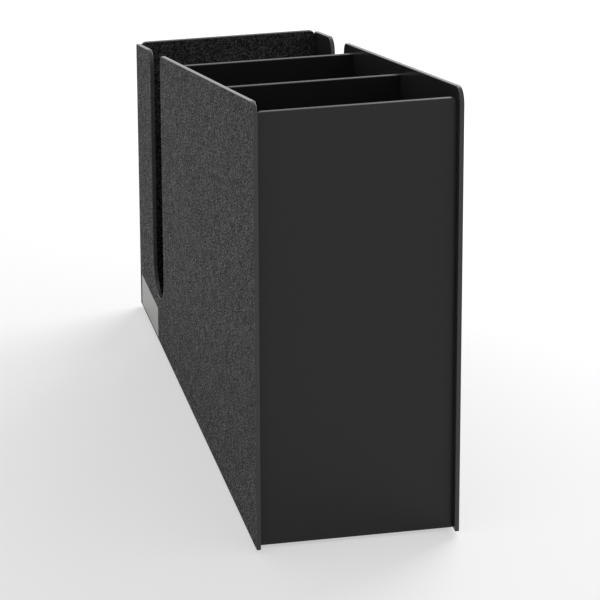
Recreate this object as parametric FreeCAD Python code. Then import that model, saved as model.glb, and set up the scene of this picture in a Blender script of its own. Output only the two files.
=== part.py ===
import FreeCAD, Part
import math
import os

# Countertop cutlery dispenser: a narrow, open-topped box with three compartments in a row.
# It is cut from flat plastic sheet, and the panels are cement-bonded edge to face.
# Frame: the low front end faces -Y, the tall rear end +Y, up is +Z.
# The origin is midway between the sides and the ends, on the surface that the feet stand on.
# Every size is in millimetres.

# Box
BODY_WIDTH = 146.0          # over the outer faces of the two side panels
BODY_LENGTH = 468.0         # front end to rear end of a side panel
REAR_HEIGHT = 332.0         # side panel at its rear end, above its own bottom edge
FRONT_HEIGHT = 219.0        # side panel at its front end
SHEET = 3.2                 # every panel is cut from one thickness

# Compartments, as clear lengths from panel face to panel face
REAR_COMPARTMENT = 166.0
MIDDLE_COMPARTMENT = 149.0
REAR_SETBACK = 7.5          # side panels run on past the rear panel by this much

# How far each cross panel ends below the sloping top edge of the side panels
REAR_PANEL_DROP = 7.8
REAR_DIVIDER_DROP = 8.0
FRONT_DIVIDER_DROP = 6.0
FRONT_PANEL_RISE = 1.2      # the front panel alone stands a little proud of that edge

# Finger slot in each side panel, open at the top
SLOT_FROM_FRONT = 62.0      # front end to the slot's nearer side
SLOT_WIDTH = 44.5
SLOT_FLOOR = 39.0           # lowest point of its round end, above the panel's bottom edge

# Corners and edges
SIDE_CORNER = 10.0          # rounded upper corners of the side panels
PANEL_CORNER = 4.5          # rounded upper corners of the front and rear panels
BREAK_CORNER = 1.5          # upper front corners of the side panels, only broken with a file
EDGE_EASE = 0.5             # round along every edge that a hand can reach

# Foil plate on the outside of the right side panel, near its lower front corner
PLATE_LENGTH = 72.0
PLATE_HEIGHT = 25.0
PLATE_THICKNESS = 0.25
PLATE_FROM_FRONT = 8.0
PLATE_FROM_BOTTOM = 2.5
PLATE_CORNER = 1.5

# Soft stick-on feet under the floor panel
FOOT_HEIGHT = 3.0
FOOT_RADIUS = 6.4
FOOT_TAPER = 0.6            # the foot draws in by this much from top to bevel
FOOT_BEVEL = 0.8            # bevel round the edge that it stands on
FOOT_INSET_X = 18.0         # foot centre from the outer face of the side panel
FOOT_INSET_Y = 24.0         # foot centre from the end of the side panel

TOUCHING = 1e-6

# Places worked out from the sizes
OUTER_X = BODY_WIDTH / 2
INNER_X = OUTER_X - SHEET
FRONT_Y = -BODY_LENGTH / 2
REAR_Y = BODY_LENGTH / 2
BOTTOM_Z = FOOT_HEIGHT
FLOOR_Z = BOTTOM_Z + SHEET
REAR_PANEL_Y = REAR_Y - REAR_SETBACK - SHEET
REAR_DIVIDER_Y = REAR_PANEL_Y - REAR_COMPARTMENT - SHEET
FRONT_DIVIDER_Y = REAR_DIVIDER_Y - MIDDLE_COMPARTMENT - SHEET
FRONT_PANEL_Y = FRONT_Y


def side_edge_z(y):
    """Height of the side panels' sloping top edge at a place along the box."""
    share = (y - FRONT_Y) / BODY_LENGTH
    return BOTTOM_Z + FRONT_HEIGHT + (REAR_HEIGHT - FRONT_HEIGHT) * share


def corner_arc(before, corner, after, radius):
    """Start, middle and end of the arc that rounds one corner of an outline."""
    to_before = (before - corner).normalize()
    to_after = (after - corner).normalize()
    half_angle = to_before.getAngle(to_after) / 2
    reach = radius / math.tan(half_angle)
    inward = (to_before + to_after).normalize()
    middle = corner + inward * (radius / math.sin(half_angle) - radius)
    return corner + to_before * reach, middle, corner + to_after * reach


def outline(corners):
    """Closed wire through (point, radius) corners, with an arc wherever the radius isn't zero."""
    arcs = []
    for index, (corner, radius) in enumerate(corners):
        before = corners[index - 1][0]
        after = corners[(index + 1) % len(corners)][0]
        arcs.append(corner_arc(before, corner, after, radius))
    edges = []
    for index, (start, middle, end) in enumerate(arcs):
        if start.distanceToPoint(end) > TOUCHING:
            edges.append(Part.Arc(start, middle, end).toShape())
        next_start = arcs[(index + 1) % len(arcs)][0]
        if end.distanceToPoint(next_start) > TOUCHING:
            edges.append(Part.LineSegment(end, next_start).toShape())
    return Part.Wire(edges)


def eased(solid, edges):
    """The solid with a small round along the edges given."""
    return solid.makeFillet(min(EDGE_EASE, SHEET / 4), edges)


def side_panel(outer_x, inner_x):
    """A side panel: sloping top, rounded upper corners and a round-ended slot open at the top."""
    slot_front = FRONT_Y + SLOT_FROM_FRONT
    slot_rear = slot_front + SLOT_WIDTH
    slot_z = BOTTOM_Z + SLOT_FLOOR
    slot_end = SLOT_WIDTH / 2
    profile = [
        (FRONT_Y, BOTTOM_Z, 0),
        (REAR_Y, BOTTOM_Z, 0),
        (REAR_Y, side_edge_z(REAR_Y), SIDE_CORNER),
        (slot_rear, side_edge_z(slot_rear), SIDE_CORNER),
        (slot_rear, slot_z, slot_end),
        (slot_front, slot_z, slot_end),
        (slot_front, side_edge_z(slot_front), SIDE_CORNER),
        (FRONT_Y, side_edge_z(FRONT_Y), BREAK_CORNER),
    ]
    corners = [(FreeCAD.Vector(outer_x, y, z), radius) for y, z, radius in profile]
    panel = Part.Face(outline(corners)).extrude(FreeCAD.Vector(inner_x - outer_x, 0, 0))
    rim = [edge for edge in panel.Edges if edge.BoundBox.XLength < TOUCHING]
    return eased(panel, rim)


def cross_panel(y, bottom_z, top_z, corner_radius):
    """A panel between the two side panels, with its top edge eased for the hand."""
    profile = [
        (-INNER_X, bottom_z, 0),
        (INNER_X, bottom_z, 0),
        (INNER_X, top_z, corner_radius),
        (-INNER_X, top_z, corner_radius),
    ]
    corners = [(FreeCAD.Vector(x, y, z), radius) for x, z, radius in profile]
    panel = Part.Face(outline(corners)).extrude(FreeCAD.Vector(0, SHEET, 0))
    top_edges = []
    for edge in panel.Edges:
        box = edge.BoundBox
        if box.YLength < TOUCHING and box.ZMin > top_z - TOUCHING:
            top_edges.append(edge)
    return eased(panel, top_edges)


def top_of_cross_panel(y, drop):
    """Where a cross panel ends, measured down from the side panels' top edge at its middle."""
    return side_edge_z(y + SHEET / 2) - drop


def rear_panel():
    top_z = top_of_cross_panel(REAR_PANEL_Y, REAR_PANEL_DROP)
    return cross_panel(REAR_PANEL_Y, BOTTOM_Z, top_z, PANEL_CORNER)


def front_panel():
    top_z = top_of_cross_panel(FRONT_PANEL_Y, -FRONT_PANEL_RISE)
    return cross_panel(FRONT_PANEL_Y, BOTTOM_Z, top_z, PANEL_CORNER)


def rear_divider():
    top_z = top_of_cross_panel(REAR_DIVIDER_Y, REAR_DIVIDER_DROP)
    return cross_panel(REAR_DIVIDER_Y, FLOOR_Z, top_z, 0)


def front_divider():
    top_z = top_of_cross_panel(FRONT_DIVIDER_Y, FRONT_DIVIDER_DROP)
    return cross_panel(FRONT_DIVIDER_Y, FLOOR_Z, top_z, 0)


def floor_panel():
    """One floor for all three compartments, let in between the four outer panels."""
    front_y = FRONT_PANEL_Y + SHEET
    corner = FreeCAD.Vector(-INNER_X, front_y, BOTTOM_Z)
    return Part.makeBox(2 * INNER_X, REAR_PANEL_Y - front_y, SHEET, corner)


def label_plate():
    """Bare foil plate with rounded corners, stuck flat on the right side panel."""
    front_y = FRONT_Y + PLATE_FROM_FRONT
    rear_y = front_y + PLATE_LENGTH
    low_z = BOTTOM_Z + PLATE_FROM_BOTTOM
    high_z = low_z + PLATE_HEIGHT
    places = [(front_y, low_z), (rear_y, low_z), (rear_y, high_z), (front_y, high_z)]
    corners = [(FreeCAD.Vector(OUTER_X, y, z), PLATE_CORNER) for y, z in places]
    return Part.Face(outline(corners)).extrude(FreeCAD.Vector(PLATE_THICKNESS, 0, 0))


def foot(x, y):
    """A soft round foot: a tapered disc, bevelled round the edge that it stands on."""
    waist = FOOT_RADIUS - FOOT_TAPER
    profile = [
        (0, 0),
        (waist - FOOT_BEVEL, 0),
        (waist, FOOT_BEVEL),
        (FOOT_RADIUS, FOOT_HEIGHT),
        (0, FOOT_HEIGHT),
    ]
    corners = [FreeCAD.Vector(x + radius, y, z) for radius, z in profile]
    section = Part.Face(Part.makePolygon(corners + corners[:1]))
    return section.revolve(FreeCAD.Vector(x, y, 0), FreeCAD.Vector(0, 0, 1), 360)


def feet():
    """Four feet near the corners of the floor panel."""
    made = {}
    for end, y in (("front", FRONT_Y + FOOT_INSET_Y), ("rear", REAR_Y - FOOT_INSET_Y)):
        for side, sign in (("left", -1), ("right", 1)):
            made[f"foot_{end}_{side}"] = foot(sign * (OUTER_X - FOOT_INSET_X), y)
    return made


def dispenser():
    """Every piece of the dispenser, by the name of its node."""
    pieces = {
        "left_side_panel": side_panel(-OUTER_X, -INNER_X),
        "right_side_panel": side_panel(OUTER_X, INNER_X),
        "rear_panel": rear_panel(),
        "front_panel": front_panel(),
        "rear_divider": rear_divider(),
        "front_divider": front_divider(),
        "floor_panel": floor_panel(),
        "label_plate": label_plate(),
    }
    pieces.update(feet())
    return pieces


os.makedirs("parts", exist_ok=True)
for node, shape in dispenser().items():
    if not shape.isValid() or len(shape.Solids) != 1:
        raise ValueError(f"{node} isn't one sound solid")
    shape.exportStep(f"parts/{node}.step")
    print(node, "volume", round(shape.Volume, 1))
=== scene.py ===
# %% [markdown]
# A cutlery dispenser made of black plastic sheet.
#
# The real object is cut from one kind of sheet, 1/8 in thick, with a fine leather grain rolled
# into one face and the other face left smooth. Its panels are routed to shape, their edges are
# eased, and they are cemented together. So there is little to model here: the solids already
# have the right shape. What makes the object look real is the finish, and where each finish
# stops: grain on one face of a panel, a smooth matte skin on the other, and a paler, slightly
# ridged cut edge between them.

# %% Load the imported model
import math

import bpy
from mathutils import Matrix, Vector


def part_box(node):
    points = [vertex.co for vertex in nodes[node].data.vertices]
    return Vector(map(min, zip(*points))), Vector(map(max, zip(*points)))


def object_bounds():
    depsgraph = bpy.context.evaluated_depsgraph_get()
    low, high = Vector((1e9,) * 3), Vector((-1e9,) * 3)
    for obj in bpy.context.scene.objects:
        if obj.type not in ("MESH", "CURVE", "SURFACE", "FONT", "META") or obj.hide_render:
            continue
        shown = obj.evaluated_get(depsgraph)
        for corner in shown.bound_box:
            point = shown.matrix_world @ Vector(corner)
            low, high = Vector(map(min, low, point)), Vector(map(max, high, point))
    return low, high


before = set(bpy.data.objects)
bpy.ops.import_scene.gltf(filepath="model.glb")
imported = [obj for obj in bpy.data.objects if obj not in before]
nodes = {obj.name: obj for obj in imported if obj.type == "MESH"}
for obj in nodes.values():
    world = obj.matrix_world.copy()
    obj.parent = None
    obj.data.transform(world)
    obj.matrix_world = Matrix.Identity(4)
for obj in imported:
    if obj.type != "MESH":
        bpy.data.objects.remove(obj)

cad_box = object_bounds()
print("pieces:", len(nodes), "box:", [tuple(round(v, 4) for v in corner) for corner in cad_box])

# %% [markdown]
# Three habits serve the whole file. Sizes are written in millimetres, because that is how
# sheet, grain and foil are sold, and Blender works in metres. Colours are written as the hex
# values that a picture editor shows, and Blender wants them linear. And a node is easier to
# read when its type, its settings and what feeds it stand together.

# %% Helpers
MM = 0.001


def linear(hex_colour):
    """An sRGB hex colour as the linear RGBA that shaders work in."""
    channels = [int(hex_colour[i:i + 2], 16) / 255 for i in (1, 3, 5)]
    return [c / 12.92 if c <= 0.04045 else ((c + 0.055) / 1.055) ** 2.4 for c in channels] + [1.0]


def add_node(tree, kind, settings=None, **inputs):
    """Adds a node. settings are its properties; an input is a value, or a socket to link from.

    An input is named as Blender names it, or i and its number where a name isn't unique.
    """
    node = tree.nodes.new(kind)
    for name, value in (settings or {}).items():
        setattr(node, name, value)
    for name, value in inputs.items():
        numbered = name[0] == "i" and name[1:].isdigit()
        socket = node.inputs[int(name[1:]) if numbered else name.replace("_", " ")]
        if isinstance(value, bpy.types.NodeSocket):
            tree.links.new(value, socket)
        else:
            socket.default_value = value
    return node


print("a picture editor's middle grey, #808080, is linear", round(linear("#808080")[0], 3))

# %% [markdown]
# The camera comes first, because every later choice is judged through it. A product photographer
# stands well back with a long lens, so that the box's sides stay nearly parallel. The camera's
# place and its three angles were worked out from the corners and edges of the object in the
# photograph. It stands behind the tall end, a little to the right side panel's side, and looks
# down by about 22 degrees.

# %% Camera
CAMERA_PLACE = Vector((571.4, 2741.7, 1239.9)) * MM
CAMERA_HEADING = math.radians(168.066)
CAMERA_TILT_DOWN = math.radians(22.284)
CAMERA_ROLL = math.radians(-0.206)
SENSOR_WIDTH = 36.0         # mm
LENS = 243.1                # mm


def add_camera():
    data = bpy.data.cameras.new("long_lens")
    data.sensor_width = SENSOR_WIDTH
    data.lens = LENS
    camera = bpy.data.objects.new("long_lens", data)
    heading = Matrix.Rotation(CAMERA_HEADING, 4, "Z")
    tilt = Matrix.Rotation(math.radians(90) - CAMERA_TILT_DOWN, 4, "X")
    roll = Matrix.Rotation(CAMERA_ROLL, 4, "Z")
    camera.matrix_world = Matrix.Translation(CAMERA_PLACE) @ heading @ tilt @ roll
    bpy.context.scene.collection.objects.link(camera)
    return camera


bpy.context.scene.camera = add_camera()
middle = (Vector(cad_box[0]) + Vector(cad_box[1])) / 2
print("camera stands", round((CAMERA_PLACE - middle).length, 2), "m from the object")

# %% [markdown]
# The studio is white paper in a white surround, with one large softbox. It stands behind the low
# end, on the left side panel's side, so the faces that the camera sees lie in open shade and the
# shadow falls toward the camera.

# %% Softbox
SOFTBOX_PLACE = (-0.9, -0.9, 0.9)   # m
SOFTBOX_SIZE = 1.1          # m, each way
SOFTBOX_WATTS = 22
SOFTBOX_AIM = Vector((0, 0, 0.15))


def add_softbox():
    data = bpy.data.lights.new("key_softbox", "AREA")
    data.size = SOFTBOX_SIZE
    data.energy = SOFTBOX_WATTS
    lamp = bpy.data.objects.new("key_softbox", data)
    lamp.location = SOFTBOX_PLACE
    lamp.rotation_euler = (SOFTBOX_AIM - lamp.location).to_track_quat("-Z", "Y").to_euler()
    bpy.context.scene.collection.objects.link(lamp)
    return lamp


softbox = add_softbox()
print("softbox stands", round((softbox.location - SOFTBOX_AIM).length, 2), "m from the object")

# %% [markdown]
# Black plastic shows hardly any colour of its own: nearly all that the eye sees is a reflection of
# what stands round it. So the surround has two strengths. To the camera, off a gloss and through
# glass it is white. As a light on the object it is dimmer, so that a colour renders about as it is
# written.

# %% White surround
SURROUND_LIGHT = 0.62       # of its whiteness, as a light on the object


def background_rays(tree):
    """1 for the rays that show the background: from the camera, off a gloss or through glass."""
    rays = add_node(tree, "ShaderNodeLightPath").outputs
    seen = add_node(tree, "ShaderNodeMath", {"operation": "MAXIMUM"}, i0=rays["Is Camera Ray"],
                    i1=rays["Is Glossy Ray"])
    return add_node(tree, "ShaderNodeMath", {"operation": "MAXIMUM"}, i0=seen.outputs[0],
                    i1=rays["Is Transmission Ray"]).outputs[0]


def add_surround():
    world = bpy.data.worlds.new("surround")
    world.use_nodes = True
    tree = world.node_tree
    tree.nodes.clear()
    strength = add_node(tree, "ShaderNodeMix", {"data_type": "FLOAT"}, i0=background_rays(tree),
                        i2=SURROUND_LIGHT, i3=1.0)
    light = add_node(tree, "ShaderNodeBackground", Color=linear("#ffffff"),
                     Strength=strength.outputs[0])
    add_node(tree, "ShaderNodeOutputWorld", Surface=light.outputs[0])
    bpy.context.scene.world = world


add_surround()
print("surround lights the object at", SURROUND_LIGHT, "of white")

# %% [markdown]
# The paper is lit like anything else. That keeps the object's soft shadow, and less light comes
# back from there to the upright faces, which is why they darken toward the bottom. Where it shows
# as background, the paper is half lifted to white near the object, so that the shadow stays a pale
# grey, and further out it fades into the white.

# %% Paper floor
PAPER_RADIUS = 1.6          # m
PAPER_SIDES = 96            # of the polygon that stands for a circle
PAPER_COLOUR = "#f4f4f4"
PAPER_FADE = (0.60, 1.50)   # m from the object's middle, where the fade to white starts and ends
SHADOW_LIFT = 0.50          # of the way from the lit paper to white, nearest the object


def paper():
    material = bpy.data.materials.new("studio_paper")
    material.use_nodes = True
    tree = material.node_tree
    tree.nodes.clear()
    lit = add_node(tree, "ShaderNodeBsdfDiffuse", Color=linear(PAPER_COLOUR))
    white = add_node(tree, "ShaderNodeEmission", Color=linear("#ffffff"), Strength=1.0)
    place = add_node(tree, "ShaderNodeTexCoord").outputs["Object"]
    distance = add_node(tree, "ShaderNodeVectorMath", {"operation": "LENGTH"}, i0=place)
    fade = add_node(tree, "ShaderNodeMapRange", {"interpolation_type": "SMOOTHSTEP"},
                    Value=distance.outputs["Value"], From_Min=PAPER_FADE[0],
                    From_Max=PAPER_FADE[1], To_Min=SHADOW_LIFT)
    share = add_node(tree, "ShaderNodeMath", {"operation": "MULTIPLY"}, i0=fade.outputs["Result"],
                     i1=background_rays(tree))
    mixed = add_node(tree, "ShaderNodeMixShader", i0=share.outputs[0], i1=lit.outputs[0],
                     i2=white.outputs[0])
    add_node(tree, "ShaderNodeOutputMaterial", Surface=mixed.outputs[0])
    return material


def add_floor():
    turns = [math.tau * i / PAPER_SIDES for i in range(PAPER_SIDES)]
    rim = [(PAPER_RADIUS * math.cos(turn), PAPER_RADIUS * math.sin(turn), 0) for turn in turns]
    mesh = bpy.data.meshes.new("studio_floor")
    mesh.from_pydata(rim, [], [tuple(range(PAPER_SIDES))])
    mesh.materials.append(paper())
    floor = bpy.data.objects.new("studio_floor", mesh)
    bpy.context.scene.collection.objects.link(floor)


add_floor()
bpy.context.scene.view_settings.view_transform = "Standard"
print("paper is", 2 * PAPER_RADIUS, "m across")

# %% [markdown]
# The sheet is ABS with a "haircell" face. A heated roller presses a pattern of small, soft-edged
# cells into it, each about a millimetre across, and pulls them out to twice that along the sheet.
# The sheet's long way runs along the box, so the side panels show the cells drawn out, and the
# cross panels show them end on and round.
#
# Nothing in the pattern repeats: under the cells lies a slower, cloudy unevenness. The cells have
# wandering outlines, so a noise with a few octaves draws them better than a Voronoi pattern, whose
# straight borders look like cracked mud. A smooth step turns the noise into cell tops and creases.

# %% The grain
CELL_SIZE = 1.0             # mm from one cell to the next
CELL_SCALE = (1.0, 0.5, 1.0)    # of the pattern's scale on each axis: half draws out to double
CELL_OCTAVES = 1.5
CELL_FINE_SHARE = 0.6       # of each finer octave in the outlines
CELL_WANDER = 0.4           # how far the outlines are pushed about
CELL_EDGES = (0.42, 0.62)   # of the noise, where a crease ends and where a cell's top begins
CLOUD_SIZE = 5.0            # mm across a patch where the cells stand a little prouder
CLOUD_OCTAVES = 2.0
CLOUD_SHARE = 0.25          # how far the clouds move the noise, from lowest to highest


def haircell(tree, place):
    """The grain's relief, from 0 in a crease to 1 on a cell's top."""
    drawn_out = add_node(tree, "ShaderNodeVectorMath", {"operation": "MULTIPLY"}, i0=place,
                         i1=CELL_SCALE)
    cells = add_node(tree, "ShaderNodeTexNoise", Vector=drawn_out.outputs[0],
                     Scale=1 / (CELL_SIZE * MM), Detail=CELL_OCTAVES, Roughness=CELL_FINE_SHARE,
                     Distortion=CELL_WANDER)
    clouds = add_node(tree, "ShaderNodeTexNoise", Vector=place, Scale=1 / (CLOUD_SIZE * MM),
                      Detail=CLOUD_OCTAVES)
    lift = add_node(tree, "ShaderNodeMath", {"operation": "MULTIPLY_ADD"},
                    i0=clouds.outputs["Fac"], i1=CLOUD_SHARE, i2=-CLOUD_SHARE / 2)
    height = add_node(tree, "ShaderNodeMath", {"operation": "ADD"}, i0=cells.outputs["Fac"],
                      i1=lift.outputs[0])
    relief = add_node(tree, "ShaderNodeMapRange", {"interpolation_type": "SMOOTHSTEP"},
                      Value=height.outputs[0], From_Min=CELL_EDGES[0], From_Max=CELL_EDGES[1])
    return relief.outputs["Result"]


cell_length = CELL_SIZE * MM / CELL_SCALE[1]
print("cells along a side panel:", round((cad_box[1][1] - cad_box[0][1]) / cell_length))

# %% [markdown]
# The other face only touches the polished side of the press. It stays smooth and matte, with the
# faint, slow waviness of any rolled sheet, which shows only in what it reflects.
#
# A router cuts the outline. It leaves fine ridges that run through the sheet's thickness, and the
# scraped plastic is greyer than its skin; its colour is also lifted further as a painted highlight,
# where the eased edges catch the light. Noise that is stretched along the thickness gives such
# ridges. Their real spacing, about a third of a millimetre, is too fine to show, so they are drawn
# at 1.2 mm.

# %% Skin and cut edge
WAVE_SIZE = 30.0            # mm from crest to crest
WAVE_OCTAVES = 3.0
WAVE_FINE_SHARE = 0.7       # of each finer octave
RIDGE_SPACING = 1.2         # mm
RIDGE_OCTAVES = 1.0
RIDGE_SCALE = 0.03          # of the pattern's scale through the sheet: ridges run right through


def waviness(tree, place):
    """The smooth face's slow unevenness, from 0 to 1."""
    waves = add_node(tree, "ShaderNodeTexNoise", Vector=place, Scale=1 / (WAVE_SIZE * MM),
                     Detail=WAVE_OCTAVES, Roughness=WAVE_FINE_SHARE)
    return waves.outputs["Fac"]


def router_ridges(tree, place, through):
    """Ridges that run along the direction through the sheet, from 0 to 1."""
    scale = [1 - (1 - RIDGE_SCALE) * abs(part) for part in through]
    stretched = add_node(tree, "ShaderNodeVectorMath", {"operation": "MULTIPLY"}, i0=place,
                         i1=scale)
    ridges = add_node(tree, "ShaderNodeTexNoise", Vector=stretched.outputs[0],
                      Scale=1 / (RIDGE_SPACING * MM), Detail=RIDGE_OCTAVES)
    return ridges.outputs["Fac"]


print("ridges are drawn every", RIDGE_SPACING, "mm, waves every", WAVE_SIZE, "mm")

# %% [markdown]
# One material for each panel puts the three finishes where they belong. It compares the surface's
# direction with the side that was grained: the same way is the grained face, straight against it
# is the smooth face, and across it is the cut edge. The narrow rounds between them blend.

# %% Where each finish lies
FACE_STARTS = (0.90, 0.98)  # of alignment with the sheet's face, over which an edge turns into it


def blend(tree, share, first, second, kind="RGBA"):
    """first where share is 0, second where it is 1."""
    start = {"RGBA": 6, "FLOAT": 2}[kind]
    mix = add_node(tree, "ShaderNodeMix", {"data_type": kind}, i0=share,
                   **{f"i{start}": first, f"i{start + 1}": second})
    return mix.outputs[{"RGBA": 2, "FLOAT": 0}[kind]]


def finish_masks(tree, grained_side):
    """Two masks: 1 on the grained face, and 1 on the cut edge."""
    normal = add_node(tree, "ShaderNodeNewGeometry").outputs["Normal"]
    facing = add_node(tree, "ShaderNodeVectorMath", {"operation": "DOT_PRODUCT"}, i0=normal,
                      i1=grained_side).outputs["Value"]
    grained = add_node(tree, "ShaderNodeMapRange", Value=facing, From_Min=FACE_STARTS[0],
                       From_Max=FACE_STARTS[1])
    either_face = add_node(tree, "ShaderNodeMath", {"operation": "ABSOLUTE"}, i0=facing)
    edge = add_node(tree, "ShaderNodeMapRange", Value=either_face.outputs[0],
                    From_Min=FACE_STARTS[1], From_Max=FACE_STARTS[0])
    return grained.outputs["Result"], edge.outputs["Result"]


turned = [round(math.degrees(math.acos(part))) for part in FACE_STARTS]
print("an edge turns into a face between", turned[0], "and", turned[1], "degrees from it")

# %% [markdown]
# ABS has an IOR of about 1.53, and its matte skin scatters part of its gloss. The cell tops are
# painted paler and are shinier, as a painted highlight, and the creases are painted darker, as
# painted shade, and stay dull. A cell is only about a pixel high in this picture and would average
# out. So the relief is drawn several times deeper than the real tenth of a millimetre, which makes
# the speckle as lively as a photograph's.

# %% Black haircell sheet
SHEET_IOR = 1.53
SHEET_SPECULAR = 0.21
SMOOTH_COLOUR = "#252526"
# The crease colour is painted shade, and the cell colour is a painted highlight.
CREASE_PAINTED_SHADE_COLOUR = "#181819"
CELL_PAINTED_HIGHLIGHT_COLOUR = "#4d4d4f"
# The edge and ridge colours are partly the scraped plastic's real grey and partly a painted
# highlight.
EDGE_GREY_AND_HIGHLIGHT_COLOUR = "#383839"
RIDGE_GREY_AND_HIGHLIGHT_COLOUR = "#484849"
CREASE_ROUGHNESS = 1.0
CELL_ROUGHNESS = 0.47
SMOOTH_ROUGHNESS = (0.18, 0.28)
EDGE_ROUGHNESS = 0.24
CELL_DEPTH = 0.70           # mm from a cell's top to the bottom of a crease, as drawn
WAVE_DEPTH = 0.06           # mm
RIDGE_DEPTH = 0.04          # mm


def scaled(tree, relief, depth):
    """A relief from 0 to 1 as a height in millimetres."""
    return add_node(tree, "ShaderNodeMath", {"operation": "MULTIPLY"}, i0=relief,
                    i1=depth).outputs[0]


def sheet_material(name, grained_side):
    """Black ABS sheet: grained on the face that looks along grained_side, smooth on the other."""
    material = bpy.data.materials.new(name)
    material.use_nodes = True
    tree = material.node_tree
    shader = tree.nodes["Principled BSDF"].inputs
    shader["IOR"].default_value = SHEET_IOR
    shader["Specular IOR Level"].default_value = SHEET_SPECULAR

    place = add_node(tree, "ShaderNodeTexCoord").outputs["Object"]
    grained, edge = finish_masks(tree, grained_side)
    cells = haircell(tree, place)
    waves = waviness(tree, place)
    ridges = router_ridges(tree, place, grained_side)

    # Painted shade in the creases and a painted highlight on the cell tops.
    grain_shade_and_highlight_colour = blend(tree, cells, linear(CREASE_PAINTED_SHADE_COLOUR), linear(CELL_PAINTED_HIGHLIGHT_COLOUR))
    # Partly the cut edge's real grey, partly a painted highlight.
    edge_grey_and_highlight_colour = blend(tree, ridges, linear(EDGE_GREY_AND_HIGHLIGHT_COLOUR), linear(RIDGE_GREY_AND_HIGHLIGHT_COLOUR))
    face_colour = blend(tree, grained, linear(SMOOTH_COLOUR), grain_shade_and_highlight_colour)
    tree.links.new(blend(tree, edge, face_colour, edge_grey_and_highlight_colour), shader["Base Color"])

    grain_roughness = blend(tree, cells, CREASE_ROUGHNESS, CELL_ROUGHNESS, "FLOAT")
    skin_roughness = blend(tree, waves, *SMOOTH_ROUGHNESS, "FLOAT")
    face_roughness = blend(tree, grained, skin_roughness, grain_roughness, "FLOAT")
    roughness = blend(tree, edge, face_roughness, EDGE_ROUGHNESS, "FLOAT")
    tree.links.new(roughness, shader["Roughness"])

    face_height = blend(tree, grained, scaled(tree, waves, WAVE_DEPTH),
                        scaled(tree, cells, CELL_DEPTH), "FLOAT")
    height = blend(tree, edge, face_height, scaled(tree, ridges, RIDGE_DEPTH), "FLOAT")
    bump = add_node(tree, "ShaderNodeBump", Height=height, Strength=1.0, Distance=MM)
    tree.links.new(bump.outputs[0], shader["Normal"])
    return material


print("a cell is drawn", CELL_DEPTH, "mm deep and", CELL_SIZE, "mm across")

# %% [markdown]
# The outside of both side panels is grained, and so is the inside of the low front panel. The rear
# panel and the dividers show the camera their smooth face, so their grain looks to the front. The
# floor's grain looks up, where cutlery stands on it.

# %% Dress the panels
GRAINED_SIDES = {
    "left_side_panel": (-1, 0, 0),
    "right_side_panel": (1, 0, 0),
    "rear_panel": (0, -1, 0),
    "front_panel": (0, 1, 0),
    "rear_divider": (0, -1, 0),
    "front_divider": (0, -1, 0),
    "floor_panel": (0, 0, 1),
}


def dress(node, material):
    """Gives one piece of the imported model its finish."""
    nodes[node].data.materials.clear()
    nodes[node].data.materials.append(material)


for node_name, side in GRAINED_SIDES.items():
    dress(node_name, sheet_material(f"haircell_abs_{node_name}", side))
print("grained panels:", len(GRAINED_SIDES))

# %% [markdown]
# The plate is a self-adhesive label of rolled aluminium foil, left blank. Rolling leaves it satin,
# with faint lines along its length, so noise that is stretched that way varies its roughness and
# its height. The real lines are far too fine to show, and are drawn 0.8 mm apart.

# %% Satin foil
FOIL_COLOUR = "#989896"
FOIL_ROUGHNESS = (0.40, 0.56)
ROLLING_LINE = 0.8          # mm from line to line
ROLLING_LENGTH = 40.0       # mm that a line runs on for
ROLLING_OCTAVES = 2.0
ROLLING_DEPTH = 0.006       # mm


def satin_foil():
    material = bpy.data.materials.new("satin_aluminium_foil")
    material.use_nodes = True
    tree = material.node_tree
    shader = tree.nodes["Principled BSDF"].inputs
    shader["Base Color"].default_value = linear(FOIL_COLOUR)
    shader["Metallic"].default_value = 1.0
    place = add_node(tree, "ShaderNodeTexCoord").outputs["Object"]
    stretched = add_node(tree, "ShaderNodeVectorMath", {"operation": "MULTIPLY"}, i0=place,
                         i1=(1.0, ROLLING_LINE / ROLLING_LENGTH, 1.0))
    lines = add_node(tree, "ShaderNodeTexNoise", Vector=stretched.outputs[0],
                     Scale=1 / (ROLLING_LINE * MM), Detail=ROLLING_OCTAVES).outputs["Fac"]
    tree.links.new(blend(tree, lines, *FOIL_ROUGHNESS, "FLOAT"), shader["Roughness"])
    bump = add_node(tree, "ShaderNodeBump", Height=lines, Strength=1.0,
                    Distance=ROLLING_DEPTH * MM)
    tree.links.new(bump.outputs[0], shader["Normal"])
    return material


dress("label_plate", satin_foil())
low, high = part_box("label_plate")
print("plate:", [round((b - a) / MM, 1) for a, b in zip(low, high)], "mm")

# %% [markdown]
# The feet are moulded in soft black rubber. Such rubber is dull, slightly pebbled from its mould,
# and holds a little grey dust in the hollows.

# %% Rubber feet
RUBBER_COLOUR = "#1a1a1a"
DUST_COLOUR = "#2b2a29"
RUBBER_ROUGHNESS = 0.78
PEBBLE_SIZE = 0.6           # mm
PEBBLE_OCTAVES = 2.0
PEBBLE_DEPTH = 0.03         # mm


def moulded_rubber():
    material = bpy.data.materials.new("moulded_black_rubber")
    material.use_nodes = True
    tree = material.node_tree
    shader = tree.nodes["Principled BSDF"].inputs
    shader["Roughness"].default_value = RUBBER_ROUGHNESS
    place = add_node(tree, "ShaderNodeTexCoord").outputs["Object"]
    pebbles = add_node(tree, "ShaderNodeTexNoise", Vector=place, Scale=1 / (PEBBLE_SIZE * MM),
                       Detail=PEBBLE_OCTAVES).outputs["Fac"]
    colour = blend(tree, pebbles, linear(DUST_COLOUR), linear(RUBBER_COLOUR))
    tree.links.new(colour, shader["Base Color"])
    bump = add_node(tree, "ShaderNodeBump", Height=pebbles, Strength=1.0,
                    Distance=PEBBLE_DEPTH * MM)
    tree.links.new(bump.outputs[0], shader["Normal"])
    return material


rubber = moulded_rubber()
feet = [node_name for node_name in nodes if node_name.startswith("foot_")]
for node_name in feet:
    dress(node_name, rubber)
print("feet:", len(feet))
